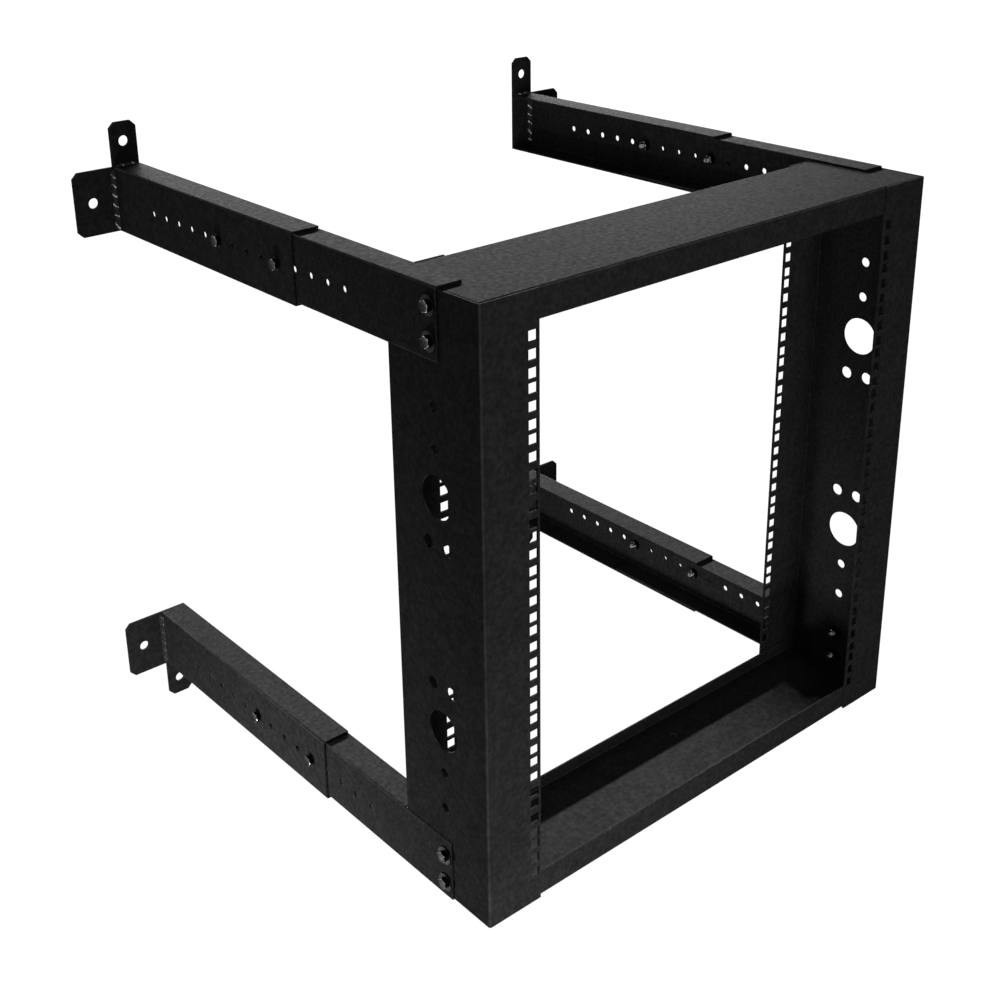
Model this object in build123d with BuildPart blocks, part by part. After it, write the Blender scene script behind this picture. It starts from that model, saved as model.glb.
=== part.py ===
from build123d import *
import os

# An open wall rack, twelve units high. Two punched uprights and two cross channels
# make its frame, and four arms that slide in sleeves carry it out from the wall.
# Millimetres. X runs to the right as seen from the room, Y into the wall and Z up.
# The origin is on the wall face of the upper left wall plate, at mid height of its arm.

# Sheet metal
sheet = 2.0
plate = 3.0
fold_inside = 0.5
play = 0.4

# Rack rails
unit = 44.45
unit_count = 12
unit_holes = (0.0, 15.875, 31.75)
rail_hole = 9.5
rail_hole_columns = 465.1
rail_opening = 450.85
above_first_hole = 38.0
below_last_hole = 32.3

# Frame
rack_width = 574.0
upright_depth = 120.0
wall_distance = 590.0
front_lip = 27.0
rear_lip = 15.0
end_gap = 1.0

# Round holes in the web of an upright, as distances from the middle of the rail
vent_hole = 10.0
vent_heights = (158.5, 196.5)
cable_hole = 40.0
cable_height = 114.5
pair_hole = 12.7
pair_height = 70.0
pair_spacing = 25.4

# Arms and sleeves
arm_height = 64.0
arm_flange = 28.0
arm_length = 338.0
arm_setback = 52.0
arm_relief = 1.0
sleeve_length = 338.0
adjust_pitch = 25.4
adjust_hole = 6.6
sleeve_hole_count = 10
arm_hole_count = 9
rear_bolt_pitch = 4
frame_bolt_hole = 8.5
frame_bolt_spacing = 30.0

# Wall plates
tab_length = 46.0
tab_hole = 11.0
tab_hole_out = 25.4
tab_chamfer = 6.0
weld_leg = 4.0

# Worked out from the sizes above
fold_outside = fold_inside + sheet
rack_height = above_first_hole + (unit_count - 1) * unit + unit_holes[-1] + below_last_hole
sleeve_height = arm_height + 2 * (play + sheet)
sleeve_flange = arm_flange + play + sheet
sleeve_left = -sleeve_flange / 2
arm_left = sleeve_left + sheet + play
rack_left = arm_left + sheet
rack_middle = rack_left + rack_width / 2
rack_top = arm_height / 2 - sheet
rack_bottom = rack_top - rack_height
mid_height = (rack_top + rack_bottom) / 2
rack_front = -wall_distance
rack_rear = rack_front + upright_depth
web_middle = (rack_front + rack_rear) / 2
upright_flange = (rack_width - rail_opening) / 2
rail_middle = rack_top - above_first_hole - ((unit_count - 1) * unit + unit_holes[-1]) / 2
arm_front = rack_front + arm_setback
front_bolt = -sleeve_length + adjust_pitch
rear_bolt = front_bolt + rear_bolt_pitch * adjust_pitch

across_width = Plane.YZ.offset(rack_middle)
across_height = Plane.XY.offset(mid_height)


def draw_channel(width, height, upper_lip=None):
    """Draw a folded channel with its web on the left and its lips to the right.

    The upper lip may be shorter than the channel is wide.
    """
    Rectangle(width, height, align=(Align.MIN, Align.CENTER))
    with Locations((sheet, 0)):
        Rectangle(width, height - 2 * sheet, align=(Align.MIN, Align.CENTER), mode=Mode.SUBTRACT)
    if upper_lip:
        with Locations((upper_lip, height / 2)):
            Rectangle(width, height / 2, align=(Align.MIN, Align.MAX), mode=Mode.SUBTRACT)
    inner = [v for v in vertices() if abs(v.X - sheet) < sheet / 10]
    fillet(inner, radius=fold_inside)
    fillet(vertices().group_by(Axis.X)[0], radius=fold_outside)


def rail_levels():
    """Heights of the square holes, from the top unit down."""
    first = rack_top - above_first_hole
    return [first - count * unit - drop for count in range(unit_count) for drop in unit_holes]


def draw_rail_holes():
    """Draw one column of square holes at the rack's hole spacing."""
    column = rack_middle - rail_hole_columns / 2
    with Locations(*[(column, level) for level in rail_levels()]):
        Rectangle(rail_hole, rail_hole)


def draw_web_holes():
    """Draw the round holes of an upright's web, the same above and below its middle."""
    for side in (1, -1):
        with Locations(*[(web_middle, rail_middle + side * drop) for drop in vent_heights]):
            Circle(vent_hole / 2)
        with Locations((web_middle, rail_middle + side * cable_height)):
            Circle(cable_hole / 2)
        with Locations((web_middle, rail_middle + side * pair_height)):
            with GridLocations(pair_spacing, 0, 2, 1):
                Circle(pair_hole / 2)


def frame_bolt_places():
    """Bolt places on the left web, as Y and Z, for the upper and the lower arm."""
    low_middle = 2 * mid_height
    steps = (frame_bolt_spacing / 2, -frame_bolt_spacing / 2)
    return [(web_middle, middle + step) for middle in (0, low_middle) for step in steps]


# Uprights
with BuildPart() as left_upright:
    with BuildSketch(Plane((rack_left, web_middle, rack_bottom))):
        draw_channel(upright_flange, upright_depth)
    extrude(amount=rack_height)
    with BuildSketch(Plane.XZ.offset(-rack_front)):
        draw_rail_holes()
    extrude(amount=-upright_depth, mode=Mode.SUBTRACT)
    with BuildSketch(Plane.YZ.offset(rack_left)):
        draw_web_holes()
        with Locations(*frame_bolt_places()):
            Circle(frame_bolt_hole / 2)
    extrude(amount=sheet, mode=Mode.SUBTRACT)

with BuildPart() as right_upright:
    mirror(left_upright.part, about=across_width)

# Cross channels, held between the folds of the uprights
cross_start = rack_left + sheet + end_gap
cross_length = rack_width - 2 * (sheet + end_gap)
cross_depth = upright_depth - 2 * sheet

with BuildPart() as top_channel:
    with BuildSketch(Plane((cross_start, web_middle, rack_top), x_dir=(0, 0, -1), z_dir=(1, 0, 0))):
        draw_channel(front_lip, cross_depth, upper_lip=rear_lip)
    extrude(amount=cross_length)

with BuildPart() as bottom_channel:
    mirror(top_channel.part, about=across_height)

# Upper left arm: its web lies on the upright, its top flange over the frame
arm_plane = Plane((arm_left, rack_front + arm_setback + arm_length, 0), x_dir=(1, 0, 0), z_dir=(0, -1, 0))

with BuildPart() as upper_left_inner_arm:
    with BuildSketch(arm_plane):
        draw_channel(arm_flange, arm_height)
    extrude(amount=arm_length)
    with BuildSketch(Plane((rack_left, arm_front, rack_top))):
        Rectangle(arm_flange, upright_depth - arm_setback + arm_relief, align=(Align.MIN, Align.MIN))
    extrude(amount=-arm_height, mode=Mode.SUBTRACT)
    with BuildSketch(Plane.YZ.offset(arm_left)):
        with Locations(*[(rear_bolt - count * adjust_pitch, 0) for count in range(arm_hole_count)]):
            Circle(adjust_hole / 2)
        with Locations((web_middle, 0)):
            with GridLocations(0, frame_bolt_spacing, 1, 2):
                Circle(frame_bolt_hole / 2)
    extrude(amount=sheet, mode=Mode.SUBTRACT)

sleeve_plane = Plane((sleeve_left, -plate, 0), x_dir=(1, 0, 0), z_dir=(0, -1, 0))

with BuildPart() as upper_left_outer_arm:
    with BuildSketch(sleeve_plane):
        draw_channel(sleeve_flange, sleeve_height)
    extrude(amount=sleeve_length - plate)
    with BuildSketch(Plane.YZ.offset(sleeve_left)):
        with Locations(*[(front_bolt + count * adjust_pitch, 0) for count in range(sleeve_hole_count)]):
            Circle(adjust_hole / 2)
    extrude(amount=sheet, mode=Mode.SUBTRACT)

# Wall plate: covers the sleeve's end, with a tab to the side and a tab above
with BuildPart() as upper_left_wall_plate:
    with BuildSketch(Plane.XZ):
        Rectangle(sleeve_flange, sleeve_height)
        with Locations((sleeve_left, 0)):
            Rectangle(tab_length, sleeve_height, align=(Align.MAX, Align.CENTER))
        with Locations((0, sleeve_height / 2)):
            Rectangle(sleeve_flange, tab_length, align=(Align.CENTER, Align.MIN))
        chamfer(vertices().group_by(Axis.X)[0] + vertices().group_by(Axis.Y)[-1], length=tab_chamfer)
        with Locations((sleeve_left - tab_hole_out, 0), (0, sleeve_height / 2 + tab_hole_out)):
            Circle(tab_hole / 2, mode=Mode.SUBTRACT)
    extrude(amount=plate)

# Weld beads where the sleeve's web meets the plate, outside and inside
with BuildPart() as upper_left_weld:
    with BuildSketch(Plane((sleeve_left, -plate, -sleeve_height / 2 + fold_outside))):
        Polygon((0, 0), (-weld_leg, 0), (0, -weld_leg), align=None)
        with Locations((sheet, 0)):
            Polygon((0, 0), (weld_leg, 0), (0, -weld_leg), align=None)
    extrude(amount=sleeve_height - 2 * fold_outside)

pieces = {
    "left_upright": left_upright.part,
    "right_upright": right_upright.part,
    "top_channel": top_channel.part,
    "bottom_channel": bottom_channel.part,
}

# The other three arms are mirror images of the upper left one
arm_pieces = {
    "inner_arm": upper_left_inner_arm.part,
    "outer_arm": upper_left_outer_arm.part,
    "wall_plate": upper_left_wall_plate.part,
    "weld": upper_left_weld.part,
}

for name, solid in arm_pieces.items():
    with BuildPart() as upper_right:
        mirror(solid, about=across_width)
    with BuildPart() as lower_left:
        mirror(solid, about=across_height)
    with BuildPart() as lower_right:
        mirror(upper_right.part, about=across_height)
    pieces[f"upper_left_{name}"] = solid
    pieces[f"upper_right_{name}"] = upper_right.part
    pieces[f"lower_left_{name}"] = lower_left.part
    pieces[f"lower_right_{name}"] = lower_right.part

os.makedirs("parts", exist_ok=True)
for name, solid in pieces.items():
    solid.label = name
    export_step(solid, f"parts/{name}.step")
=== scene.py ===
import math
import random

import bmesh
import bpy
from mathutils import Matrix, Vector, noise


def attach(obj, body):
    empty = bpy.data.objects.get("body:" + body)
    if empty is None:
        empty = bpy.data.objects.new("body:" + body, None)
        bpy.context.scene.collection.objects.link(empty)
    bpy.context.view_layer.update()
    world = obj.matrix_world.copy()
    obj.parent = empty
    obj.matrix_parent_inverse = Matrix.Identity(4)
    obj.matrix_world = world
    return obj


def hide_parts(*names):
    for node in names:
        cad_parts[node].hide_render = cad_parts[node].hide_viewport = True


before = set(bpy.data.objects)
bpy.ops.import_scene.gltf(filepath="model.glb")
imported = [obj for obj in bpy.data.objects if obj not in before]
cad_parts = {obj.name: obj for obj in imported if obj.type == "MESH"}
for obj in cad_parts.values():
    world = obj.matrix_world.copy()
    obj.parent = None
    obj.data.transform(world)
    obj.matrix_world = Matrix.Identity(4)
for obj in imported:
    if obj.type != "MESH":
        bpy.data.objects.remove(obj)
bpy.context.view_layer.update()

MM = 0.001

# Places and sizes that the CAD source also has, in millimetres
RACK_MIDDLE = 276.2
MID_HEIGHT = -265.5
ARM_WEB = -12.8
RACK_WEB = -10.8
SHEET = 2.0
SLEEVE_WEB = -15.2
SLEEVE_TOP = 34.4
SLEEVE_FLANGE = 30.4
PLATE = 3.0
BOLT_Y = -530.0
BOLT_STEP = 15.0
SLEEVE_BOLTS = (-312.6, -211.0)
FLOOR_TOP = -559.0

# The CAD nodes' softened edges, in millimetres and degrees
MERGE_DISTANCE = 0.01
FLAT_ANGLE = 0.5
EDGE_ANGLE = 40.0
EDGE_WIDTH = 0.35
EDGE_SEGMENTS = 3

# Bolts, in millimetres. A washer is its outer radius, inner radius and thickness.
# Heights of the thread and the shank are measured from the sheet under the nut.
FRAME_WASHER = (9.0, 4.2, 1.4)
SLEEVE_WASHER = (6.2, 3.2, 1.2)
WASHER_EDGE = 0.25
ACROSS_FLATS = 10.0
HEX_CHAMFER = math.radians(28.0)
HEAD_HEIGHT = 4.0
NUT_HEIGHT = 5.0
NUT_BORE = 3.0
THREAD_RADIUS = 2.95
THREAD_START = 5.0
THREAD_END = 9.6
THREAD_PITCH = 1.0
FRAME_SHANK = -5.6
SLEEVE_SHANK = -5.8

# Small screw on the floor of the bottom channel, in millimetres
SCREW_PLACE = (321.8, -502.3, FLOOR_TOP)
# The dark ring round the screw's head is painted shadow.
SCREW_SHADOW_RING = (4.6, 2.6, 0.6)
SCREW_RADIUS = 3.1
SCREW_DOME = 1.7
SCREW_RIM = 0.5
CROSS_DEPTH = 0.9

# Points in a ring
HEX_POINTS = 72
ROUND_POINTS = 48
SCREW_POINTS = 64

# Welds, in millimetres
WELD_LEG = 4.0
WELD_END = 1.6
TAB_WELD_LEG = 2.4
RIPPLE_STEP = 0.45
RIPPLE_PITCH = 2.1

# Edges sharper than these stay sharp, in degrees
BOLT_SMOOTH = 35.0
WELD_SMOOTH = 60.0

# Order of the steels on a bolt, and on the small screw
HEAD_STEEL, BRIGHT_STEEL, RING_STEEL = 0, 1, 2
SCREW_RING_STEEL, SCREW_HEAD_STEEL = 0, 1

SIDES = (("left", 1), ("right", -1))
LEVELS = (("upper", 1), ("lower", -1))

# Camera, fitted to the photograph: pixels of its frame, degrees and millimetres.
# CENTRE is where the camera's axis meets the frame.
IMAGE_SIZE = 1000.0
FOCAL = 1453.0
CENTRE = (480.0, 357.0)
AZIMUTH, ELEVATION, ROLL = 39.6, 20.95, -1.03
CAMERA_PLACE = (-669.0, -1386.0, 383.4)
SENSOR = 36.0
CLIP_METRES = (0.05, 200.0)

# Studio, in metres. The camera sees the floor at FLOOR_GLOW and the world at 1;
# the light that the world gives the part is AMBIENT.
FLOOR_RADIUS = 40.0
FLOOR_POINTS = 96
FLOOR_PLACE = (0.28, -0.3, -0.85)
FLOOR_COLOUR = 0.03
FLOOR_GLOW = 0.985
AMBIENT = 0.045
WHITE = (1, 1, 1, 1)


def place_camera():
    azimuth, elevation, roll = (math.radians(v) for v in (AZIMUTH, ELEVATION, ROLL))
    ahead = Vector((
        math.sin(azimuth) * math.cos(elevation),
        math.cos(azimuth) * math.cos(elevation),
        -math.sin(elevation),
    ))
    right = ahead.cross(Vector((0, 0, 1))).normalized()
    up = right.cross(ahead)
    turned = math.cos(roll) * right + math.sin(roll) * up
    upright = -math.sin(roll) * right + math.cos(roll) * up
    data = bpy.data.cameras.new("camera")
    data.sensor_width = SENSOR
    data.lens = FOCAL / IMAGE_SIZE * SENSOR
    data.shift_x = (IMAGE_SIZE / 2 - CENTRE[0]) / IMAGE_SIZE
    data.shift_y = (CENTRE[1] - IMAGE_SIZE / 2) / IMAGE_SIZE
    data.clip_start, data.clip_end = CLIP_METRES
    camera = bpy.data.objects.new("camera", data)
    turn = Matrix((turned, upright, -ahead)).transposed().to_4x4()
    camera.matrix_world = Matrix.Translation(Vector(CAMERA_PLACE) * MM) @ turn
    bpy.context.scene.collection.objects.link(camera)
    bpy.context.scene.camera = camera


# Node helpers

def new_material(name):
    material = bpy.data.materials.new(name)
    material.use_nodes = True
    tree = material.node_tree
    tree.nodes.clear()
    out = tree.nodes.new("ShaderNodeOutputMaterial")
    shader = tree.nodes.new("ShaderNodeBsdfPrincipled")
    tree.links.new(shader.outputs["BSDF"], out.inputs["Surface"])
    return material, tree, shader


def noise_at(tree, place, scale, detail=2.0, roughness=0.5):
    node = tree.nodes.new("ShaderNodeTexNoise")
    node.inputs["Scale"].default_value = scale
    node.inputs["Detail"].default_value = detail
    node.inputs["Roughness"].default_value = roughness
    tree.links.new(place, node.inputs["Vector"])
    return node.outputs["Fac"]


def math_node(tree, how, *values):
    node = tree.nodes.new("ShaderNodeMath")
    node.operation = how
    for slot, value in zip(node.inputs, values):
        if isinstance(value, (int, float)):
            slot.default_value = value
        else:
            tree.links.new(value, slot)
    return node.outputs[0]


def weighted_sum(tree, parts):
    """Add up outputs, each times its weight."""
    total = None
    for value, weight in parts:
        part = math_node(tree, "MULTIPLY", value, weight)
        total = part if total is None else math_node(tree, "ADD", total, part)
    return total


def span(tree, value, low, high, to_low, to_high):
    """Map a value from one range to another, held within the second."""
    node = tree.nodes.new("ShaderNodeMapRange")
    node.clamp = True
    tree.links.new(value, node.inputs["Value"])
    limits = {"From Min": low, "From Max": high, "To Min": to_low, "To Max": to_high}
    for key, number in limits.items():
        node.inputs[key].default_value = number
    return node.outputs["Result"]


def ramp(tree, value, stops):
    node = tree.nodes.new("ShaderNodeValToRGB")
    tree.links.new(value, node.inputs["Fac"])
    points = node.color_ramp.elements
    while len(points) < len(stops):
        points.new(0.5)
    for point, (where, colour) in zip(points, stops):
        point.position = where
        point.color = (*colour, 1.0)
    return node.outputs["Color"]


def mix_in(tree, how, share, colour, level):
    """Blend a grey into a colour by a share."""
    node = tree.nodes.new("ShaderNodeMix")
    node.data_type, node.blend_type = "RGBA", how
    node.inputs["B"].default_value = (*grey(level), 1.0)
    tree.links.new(share, node.inputs["Factor"])
    tree.links.new(colour, node.inputs["A"])
    return node.outputs["Result"]


def add_bump(tree, shader, height, strength, distance):
    bump = tree.nodes.new("ShaderNodeBump")
    bump.inputs["Strength"].default_value = strength
    bump.inputs["Distance"].default_value = distance
    tree.links.new(height, bump.inputs["Height"])
    tree.links.new(bump.outputs["Normal"], shader.inputs["Normal"])


def grey(level, warm=0.0):
    return (level * (1 + warm), level, level * (1 - warm))


def seen_directly(tree):
    """1 for the rays that show the backdrop itself, 0 for those that carry its light."""
    path = tree.nodes.new("ShaderNodeLightPath")
    seen = math_node(tree, "MAXIMUM", path.outputs["Is Camera Ray"], path.outputs["Is Glossy Ray"])
    return math_node(tree, "MAXIMUM", seen, path.outputs["Is Transmission Ray"])


# Powder coat: a fine sandy skin with soft blotches, and a painted highlight along folds and cut
# edges, palest where they face up

def edge_highlight_mask(tree, texture):
    """Most where the surface turns away from the three main directions, as on folds and cut edges.

    Edges that face up get the most of this painted highlight, as though lit from above.
    """
    split = tree.nodes.new("ShaderNodeSeparateXYZ")
    tree.links.new(texture.outputs["Normal"], split.inputs[0])
    flat = None
    for name in "XYZ":
        size = math_node(tree, "ABSOLUTE", split.outputs[name])
        flat = size if flat is None else math_node(tree, "MAXIMUM", flat, size)
    # Painted light from above: up-facing edges get the full highlight, the others about a third of
    # it.
    lit_from_above = span(tree, split.outputs["Z"], 0.0, 0.7, 0.34, 1.0)
    return math_node(tree, "MULTIPLY", span(tree, flat, 0.99, 0.85, 0.0, 1.0), lit_from_above)


def powder_coat(name, base):
    shine, highlight_gain = 0.0005, 3.6
    material, tree, shader = new_material(name)
    texture = tree.nodes.new("ShaderNodeTexCoord")
    place = texture.outputs["Object"]
    grain = noise_at(tree, place, 520.0)
    pebble = noise_at(tree, place, 230.0)
    blotch = noise_at(tree, place, 60.0, 3.0, 0.55)
    cloud = noise_at(tree, place, 6.0)
    mixed = weighted_sum(tree, [(pebble, 0.55), (grain, 0.12), (blotch, 0.23), (cloud, 0.1)])
    stops = [(0.36, grey(base * 0.7)), (0.5, grey(base)), (0.64, grey(base * 1.4))]
    patchy = span(tree, blotch, 0.35, 0.65, 0.55, 1.0)
    # Painted highlight on folds and cut edges, broken up by the blotches.
    edge_highlight = math_node(tree, "MULTIPLY", edge_highlight_mask(tree, texture), patchy)
    colour = mix_in(tree, "ADD", edge_highlight, ramp(tree, mixed, stops), base * highlight_gain)
    tree.links.new(colour, shader.inputs["Base Color"])
    tree.links.new(span(tree, pebble, 0.3, 0.7, 0.62, 0.5), shader.inputs["Roughness"])
    shader.inputs["Specular IOR Level"].default_value = shine
    height = weighted_sum(tree, [(pebble, 0.75), (grain, 0.25)])
    add_bump(tree, shader, height, strength=0.3, distance=0.25 * MM)
    return material


# Steel of the bolts, nuts and washers: a thin dark finish with stains and paler worn spots

def steel(name, dark, pale, roughness, worn):
    material, tree, shader = new_material(name)
    place = tree.nodes.new("ShaderNodeTexCoord").outputs["Object"]
    stain = noise_at(tree, place, 260.0, 4.0, 0.6)
    speck = noise_at(tree, place, 900.0, 2.0, 0.6)
    mixed = weighted_sum(tree, [(stain, 0.7), (speck, 0.3)])
    stops = [
        (worn - 0.1, grey(dark)),
        (worn, grey((dark + pale) / 2, 0.04)),
        (worn + 0.12, grey(pale, 0.02)),
    ]
    tree.links.new(ramp(tree, mixed, stops), shader.inputs["Base Color"])
    dulled = span(tree, stain, 0.3, 0.7, roughness + 0.12, roughness - 0.06)
    tree.links.new(dulled, shader.inputs["Roughness"])
    shader.inputs["Metallic"].default_value = 1.0
    add_bump(tree, shader, speck, strength=0.25, distance=0.1 * MM)
    return material


# Painted weld: black over the ripples, worn to metal where each pass stopped; the lower welds'
# darker bare spots are painted shade

def weld_paint(name, base, worn):
    pass_length, stray_turn, shine = 11.0 * MM, 5.0, 0.08
    material, tree, shader = new_material(name)
    place = tree.nodes.new("ShaderNodeTexCoord").outputs["Object"]
    ripple = noise_at(tree, place, 420.0, 3.0, 0.6)
    stray = noise_at(tree, place, 110.0)
    split = tree.nodes.new("ShaderNodeSeparateXYZ")
    tree.links.new(place, split.inputs[0])
    along = math_node(tree, "ADD", split.outputs["X"], split.outputs["Z"])
    turns = math_node(tree, "MULTIPLY", along, 2 * math.pi / pass_length)
    shifted = math_node(tree, "ADD", turns, math_node(tree, "MULTIPLY", stray, stray_turn))
    stopped = span(tree, math_node(tree, "SINE", shifted), 0.72, 0.95, 0.0, 1.0)
    broken = span(tree, ripple, 0.4, 0.55, 0.2, 1.0)
    bare = math_node(tree, "MULTIPLY", stopped, broken)
    stops = [(0.35, grey(base * 0.6)), (0.52, grey(base * 1.2)), (0.66, grey(base * 2.2))]
    # worn is the grey of the bare spots; its low value on the lower welds is painted shade.
    colour = mix_in(tree, "MIX", bare, ramp(tree, ripple, stops), worn)
    tree.links.new(colour, shader.inputs["Base Color"])
    tree.links.new(bare, shader.inputs["Metallic"])
    tree.links.new(span(tree, ripple, 0.3, 0.7, 0.5, 0.3), shader.inputs["Roughness"])
    shader.inputs["Specular IOR Level"].default_value = shine
    add_bump(tree, shader, ripple, strength=0.4, distance=0.3 * MM)
    return material


def dress_cad_nodes(coat, arm_coat):
    """Give each CAD node its coat, and soften its cut edges."""
    for name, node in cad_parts.items():
        node.data.materials.clear()
        node.data.materials.append(arm_coat if "arm" in name else coat)
        weld = node.modifiers.new("weld", "WELD")
        weld.merge_threshold = MERGE_DISTANCE * MM
        flat = node.modifiers.new("flat", "DECIMATE")
        flat.decimate_type, flat.angle_limit = "DISSOLVE", math.radians(FLAT_ANGLE)
        flat.delimit = set()
        edge = node.modifiers.new("edge", "BEVEL")
        edge.limit_method, edge.angle_limit = "ANGLE", math.radians(EDGE_ANGLE)
        edge.width, edge.segments = EDGE_WIDTH * MM, EDGE_SEGMENTS
        edge.harden_normals = True


# Mesh helpers for the pieces that the CAD leaves out

def lay_rows(shape, rows, count, place, first_cap=False, last_cap=False):
    """Rings of points round the local Z axis, joined by faces.

    A row gives the radius and height for an angle.
    """
    rings = []
    for row in rows:
        ring = []
        for step in range(count):
            angle = 2 * math.pi * step / count
            radius, height = row(angle)
            point = Vector((radius * math.cos(angle), radius * math.sin(angle), height)) * MM
            ring.append(shape.verts.new(place @ point))
        rings.append(ring)
    faces = join_rings(shape, rings)
    if first_cap:
        faces.append(shape.faces.new(tuple(reversed(rings[0]))))
    if last_cap:
        faces.append(shape.faces.new(tuple(rings[-1])))
    return faces


def join_rings(shape, rings):
    """Faces between rings of as many points each."""
    count = len(rings[0])
    faces = []
    for lower, upper in zip(rings, rings[1:]):
        for step in range(count):
            after = (step + 1) % count
            corners = (lower[step], lower[after], upper[after], upper[step])
            faces.append(shape.faces.new(corners))
    return faces


def plain(radius, height):
    """A round row."""
    return lambda angle: (radius, height)


def hex_body(shape, place, thick, bore=None):
    """A chamfered nut, or with no bore a bolt head with a shallow dish in its top."""
    inner = ACROSS_FLATS / 2 * 0.955
    slope = math.tan(HEX_CHAMFER)
    worn_corner = 0.08
    margin = 0.1

    def outline(angle, height, sign):
        """The hexagon's edge, which the round chamfer cuts lowest at the corners."""
        turned = (angle + math.pi / 6) % (math.pi / 3) - math.pi / 6
        radius = ACROSS_FLATS / 2 / math.cos(turned)
        return radius - worn_corner, height + sign * (radius - inner) * slope

    rows = [
        plain(inner * 0.9, 0.0),
        plain(inner, 0.02),
        lambda angle: outline(angle, margin, 1),
        lambda angle: outline(angle, thick - margin, -1),
        plain(inner, thick - 0.03),
    ]
    if bore:
        rows += [
            plain(bore + 0.75, thick),
            plain(bore + 0.1, thick - 0.55),
            plain(bore, thick - 2.0),
        ]
    else:
        rows += [
            plain(inner * 0.93, thick),
            plain(inner * 0.88, thick - 0.16),
            plain(inner * 0.4, thick - 0.18),
        ]
    faces = lay_rows(shape, rows, HEX_POINTS, place, last_cap=not bore)
    for face in faces:
        face.material_index = HEAD_STEEL
    outer_chamfer = faces[3 * HEX_POINTS:4 * HEX_POINTS]
    for face in outer_chamfer:
        face.material_index = BRIGHT_STEEL


def washer(shape, place, outside, inside, thick, material=RING_STEEL):
    rows = [
        plain(inside, 0.0),
        plain(outside - WASHER_EDGE, 0.0),
        plain(outside, WASHER_EDGE),
        plain(outside, thick - WASHER_EDGE),
        plain(outside - WASHER_EDGE, thick),
        plain(inside + WASHER_EDGE, thick),
        plain(inside, thick - WASHER_EDGE),
    ]
    for face in lay_rows(shape, rows, ROUND_POINTS, place):
        face.material_index = material


def threaded_shank(shape, place, shank):
    """A plain shank that starts inside the head, then a thread with a chamfered tip."""
    depth = 0.55 * THREAD_PITCH
    rows_per_turn = 6
    tip_length, tip_slope = 0.9, 0.9
    length = THREAD_END - THREAD_START
    steps = int(length / THREAD_PITCH * rows_per_turn)

    def row(height):
        def at(angle):
            phase = (height / THREAD_PITCH - angle / (2 * math.pi)) % 1.0
            radius = THREAD_RADIUS - depth * abs(2 * phase - 1)
            taper = max(0.0, height - (THREAD_END - tip_length)) * tip_slope
            return radius - taper * radius / THREAD_RADIUS, height
        return at

    rows = [plain(THREAD_RADIUS, shank)]
    rows += [row(THREAD_START + length * step / steps) for step in range(steps + 1)]
    rows += [plain(THREAD_RADIUS - 1.15, THREAD_END + 0.02), plain(0.6, THREAD_END + 0.05)]
    for face in lay_rows(shape, rows, ROUND_POINTS, place, first_cap=True, last_cap=True):
        face.material_index = BRIGHT_STEEL


def finish_piece(name, shape, body, materials, slot=None, angle=BOLT_SMOOTH):
    data = bpy.data.meshes.new(name)
    bmesh.ops.recalc_face_normals(shape, faces=shape.faces[:])
    shape.to_mesh(data)
    shape.free()
    for material in materials:
        data.materials.append(material)
    data.shade_smooth()
    data.set_sharp_from_angle(angle=math.radians(angle))
    piece = bpy.data.objects.new(name, data)
    bpy.context.scene.collection.objects.link(piece)
    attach(piece, body)
    return piece


def along_x(x, y, z, sign):
    """A place whose local Z points along X by the sign."""
    turn = Matrix.Rotation(sign * math.pi / 2, 4, "Y")
    return Matrix.Translation(Vector((x, y, z)) * MM) @ turn


def across(x, side):
    """Mirror a place on the left to the right side."""
    return x if side > 0 else 2 * RACK_MIDDLE - x


def down(z, level):
    """Mirror a place on the upper arm to the lower level."""
    return z if level > 0 else 2 * MID_HEIGHT - z


# Bolts, washers and nuts

def add_bolt(shape, spread, side, outer_face, inner_face, y, z, ring, shank):
    """A head on the outer face of the sheets and a nut on the inner one, each on a washer."""
    def turned_at(x, sign):
        spin = Matrix.Rotation(spread.uniform(0, math.pi / 3), 4, "Z")
        return along_x(across(x, side), y, z, sign) @ spin

    on_washer = Matrix.Translation((0, 0, ring[-1] * MM))
    outside = turned_at(outer_face, -side)
    washer(shape, outside, *ring)
    hex_body(shape, outside @ on_washer, HEAD_HEIGHT)
    inside = turned_at(inner_face, side)
    washer(shape, inside, *ring)
    hex_body(shape, inside @ on_washer, NUT_HEIGHT, NUT_BORE)
    threaded_shank(shape, inside, shank)


def add_fasteners(steels):
    spread = random.Random(7)
    frame_faces = (ARM_WEB, RACK_WEB + SHEET)
    sleeve_faces = (SLEEVE_WEB, RACK_WEB)
    for level_name, level in LEVELS:
        for side_name, side in SIDES:
            corner = f"{level_name}_{side_name}"
            shape = bmesh.new()
            for step in (BOLT_STEP, -BOLT_STEP):
                z = down(step, level)
                add_bolt(shape, spread, side, *frame_faces, BOLT_Y, z, FRAME_WASHER, FRAME_SHANK)
            finish_piece(f"{corner}_frame_bolts", shape, "rack", steels)
            shape = bmesh.new()
            for y in SLEEVE_BOLTS:
                z = down(0.0, level)
                add_bolt(shape, spread, side, *sleeve_faces, y, z, SLEEVE_WASHER, SLEEVE_SHANK)
            finish_piece(f"{corner}_depth_bolts", shape, "wall_side", steels)


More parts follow.
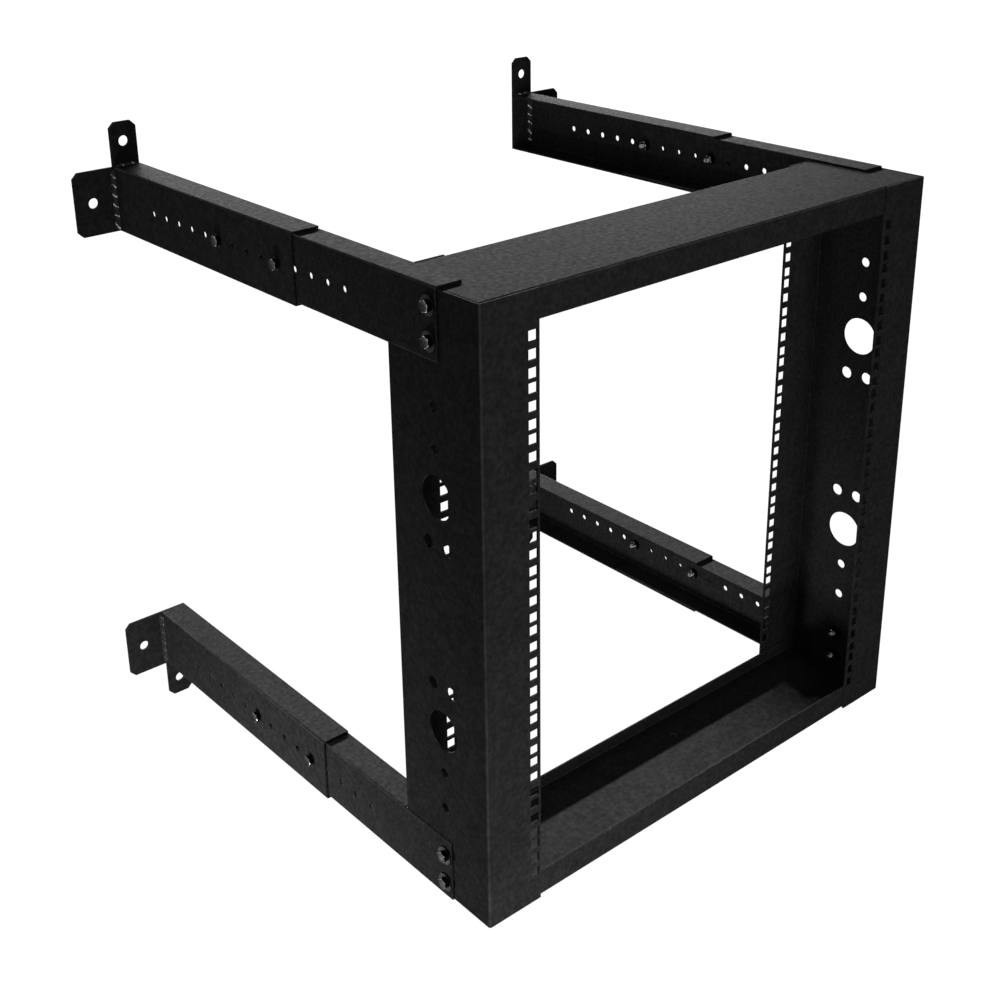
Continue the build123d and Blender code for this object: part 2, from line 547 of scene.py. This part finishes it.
def add_floor_screw(ring_steel, head_steel):
    """A low round head with a cross recess, on a dark ring that is painted shadow, on the bottom
    channel's floor.
    """
    shape = bmesh.new()
    place = Matrix.Translation(Vector(SCREW_PLACE) * MM)
    # A dark ring under the head's rim: painted shadow round the screw.
    washer(shape, place, *SCREW_SHADOW_RING, material=SCREW_RING_STEEL)

    def dome(share):
        """A row of the head at a share of its radius, dented where the cross runs."""
        def at(angle):
            off_cross = abs(math.sin(2 * angle))
            dent = CROSS_DEPTH * max(0.0, 1 - 3.2 * off_cross) * max(0.0, 1 - share * 1.5)
            rise = SCREW_DOME * math.sqrt(max(0.0, 1 - share * share))
            return SCREW_RADIUS * share, SCREW_RIM + rise - dent
        return at

    shares = [1.0, 0.96, 0.88, 0.78, 0.66, 0.6, 0.5, 0.4, 0.28, 0.14, 0.04]
    rows = [plain(SCREW_RADIUS, 0.1)] + [dome(share) for share in shares]
    for face in lay_rows(shape, rows, SCREW_POINTS, place, last_cap=True):
        face.material_index = SCREW_HEAD_STEEL
    finish_piece("bottom_channel_screw", shape, "rack", [ring_steel, head_steel])


# Weld beads: a rippled, slightly uneven bead in each corner of sleeve and wall plate

def bead(shape, start, along, side_a, side_b, length, leg, seed):
    """A bead that fills the corner between directions side_a and side_b, from start on.

    It reaches a leg along both sheets and about 0.84 of one between them.
    """
    fewest_steps, arcs = 24, 8
    steps = max(fewest_steps, int(length / RIPPLE_STEP))
    rows = []
    for step in range(steps + 1):
        at = length * step / steps
        end = min(at, length - at)
        taper = min(1.0, 0.35 + end / (leg * 0.9)) if end > 0 else 0.2
        lump = noise.noise(Vector((at * 0.16, seed * 7.3, 0.0)))
        size = leg * taper * (0.86 + 0.16 * lump)
        ring = []
        for arc in range(arcs + 1):
            turn = math.pi / 2 * arc / arcs
            bow = math.sin(2 * turn)
            ripple = math.cos(2 * math.pi * (at / RIPPLE_PITCH + 0.42 * bow + 0.12 * lump))
            rough = noise.noise(Vector((at * 0.9, turn * 3.0, seed * 3.1)))
            reach = size * (0.74 + 0.1 * bow * bow) + bow * (0.16 * ripple + 0.18 * rough) * taper
            reach /= 0.74 + 0.26 * bow
            a, b = reach * math.cos(turn), reach * math.sin(turn)
            ring.append(shape.verts.new((start + along * at + side_a * a + side_b * b) * MM))
        ring.append(shape.verts.new((start + along * at) * MM))
        rows.append(ring)
    join_rings(shape, rows)
    shape.faces.new(tuple(reversed(rows[0])))
    shape.faces.new(tuple(rows[-1]))


def add_welds(paints):
    up = Vector((0, 0, 1))
    front = Vector((0, -1, 0))
    half = SLEEVE_TOP - WELD_END
    for row, (level_name, level) in enumerate(LEVELS):
        for column, (side_name, side) in enumerate(SIDES):
            corner = f"{level_name}_{side_name}"
            seed = 3 * row + 5 * column
            out = Vector((-side, 0, 0))
            middle = down(0.0, level)
            web = across(SLEEVE_WEB, side)
            shape = bmesh.new()
            start = Vector((web, -PLATE, middle - half))
            bead(shape, start, up, out, front, 2 * half, WELD_LEG, seed + 1)
            start = Vector((across(SLEEVE_WEB + SHEET, side), -PLATE, middle - half + WELD_END))
            bead(shape, start, up, -out, front, 2 * (half - WELD_END), WELD_LEG, seed + 2)
            finish = ("wall_side", [paints[row]], "weld_bead", WELD_SMOOTH)
            weld = finish_piece(f"{corner}_weld_bead", shape, *finish)
            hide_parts(f"{level_name}_{side_name}_weld")
            shape = bmesh.new()
            start = Vector((web - out.x * TAB_WELD_LEG, -PLATE, middle + level * SLEEVE_TOP))
            length = SLEEVE_FLANGE - 2 * TAB_WELD_LEG
            bead(shape, start, -out, up * level, front, length, TAB_WELD_LEG, seed + 3)
            finish_piece(f"{corner}_tab_weld", shape, *finish)


# Floor, light and backdrop

def make_floor():
    data = bpy.data.meshes.new("studio_floor")
    shape = bmesh.new()
    bmesh.ops.create_circle(shape, cap_ends=True, segments=FLOOR_POINTS, radius=FLOOR_RADIUS)
    shape.to_mesh(data)
    shape.free()
    floor = bpy.data.objects.new("studio_floor", data)
    floor.location = FLOOR_PLACE
    bpy.context.scene.collection.objects.link(floor)
    material, tree, shader = new_material("studio_floor")
    shader.inputs["Base Color"].default_value = (*grey(FLOOR_COLOUR), 1)
    shader.inputs["Roughness"].default_value = 0.9
    shader.inputs["Specular IOR Level"].default_value = 0.0
    shader.inputs["Emission Color"].default_value = WHITE
    glow = math_node(tree, "MULTIPLY", seen_directly(tree), FLOOR_GLOW)
    tree.links.new(glow, shader.inputs["Emission Strength"])
    data.materials.append(material)


def make_world():
    world = bpy.data.worlds.new("studio")
    world.use_nodes = True
    tree = world.node_tree
    tree.nodes.clear()
    out = tree.nodes.new("ShaderNodeOutputWorld")
    light = tree.nodes.new("ShaderNodeBackground")
    light.inputs["Color"].default_value = WHITE
    strength = span(tree, seen_directly(tree), 0.0, 1.0, AMBIENT, 1.0)
    tree.links.new(strength, light.inputs["Strength"])
    tree.links.new(light.outputs["Background"], out.inputs["Surface"])
    bpy.context.scene.world = world


def aim(thing, place, target):
    """Point a lamp at a target, with its long side level."""
    back = (Vector(place) - Vector(target)).normalized()
    side = Vector((0, 0, 1)).cross(back).normalized()
    turn = Matrix((side, back.cross(side), back)).transposed().to_4x4()
    thing.matrix_world = Matrix.Translation(Vector(place)) @ turn
    bpy.context.scene.collection.objects.link(thing)


def make_lamps():
    """One long low softbox behind, and weak ones that stand in for light off a pale room.

    Each is its name, place, target, size and power, in metres and watts.
    """
    for name, place, target, size, power in (
        ("key", (7.1, 8.5, 2.2), (7.1, -0.5, -0.3), (10.4, 0.25), 6150.0),
        ("low_front", (-0.02, -0.95, -0.78), (0.03, -0.59, -0.45), (0.2, 0.15), 1.25),
        ("low_left", (-0.35, -0.24, -0.79), (-0.01, -0.35, -0.5), (0.2, 0.15), 1.6),
        ("left_rear", (-0.13, -0.2, -0.28), (-0.011, -0.5, -0.28), (0.04, 0.26), 0.13),
        ("left_soft", (-0.55, 0.1, 0.1), (-0.01, -0.15, 0.0), (0.3, 0.3), 0.22),
        ("front_soft", (0.04, -1.75, -0.12), (0.06, -0.59, -0.2), (0.5, 0.6), 3.4),
    ):
        lamp = bpy.data.lights.new(name, "AREA")
        lamp.shape, lamp.energy = "RECTANGLE", power
        lamp.size, lamp.size_y = size
        softbox = bpy.data.objects.new(name, lamp)
        softbox.visible_camera = False
        aim(softbox, place, target)


place_camera()

coat = powder_coat("powder_coat_black", base=0.036)
arm_coat = powder_coat("powder_coat_arms", base=0.043)
dress_cad_nodes(coat, arm_coat)

dark_steel = steel("blackened_steel", dark=0.003, pale=0.013, roughness=0.42, worn=0.6)
bright_steel = steel("bolt_steel", dark=0.04, pale=0.3, roughness=0.27, worn=0.5)
ring_steel = steel("washer_steel", dark=0.003, pale=0.01, roughness=0.5, worn=0.6)
upper_weld = weld_paint("painted_weld_upper", base=0.03, worn=0.33)
# The lower welds get a darker copy of the same paint: painted shade.
shaded_lower_weld = weld_paint("painted_weld_lower_shaded", base=0.03, worn=0.06)
add_fasteners([dark_steel, bright_steel, ring_steel])
add_floor_screw(ring_steel, dark_steel)
add_welds([upper_weld, shaded_lower_weld])

make_floor()
make_world()
make_lamps()

scene = bpy.context.scene
scene.view_settings.view_transform = "Standard"
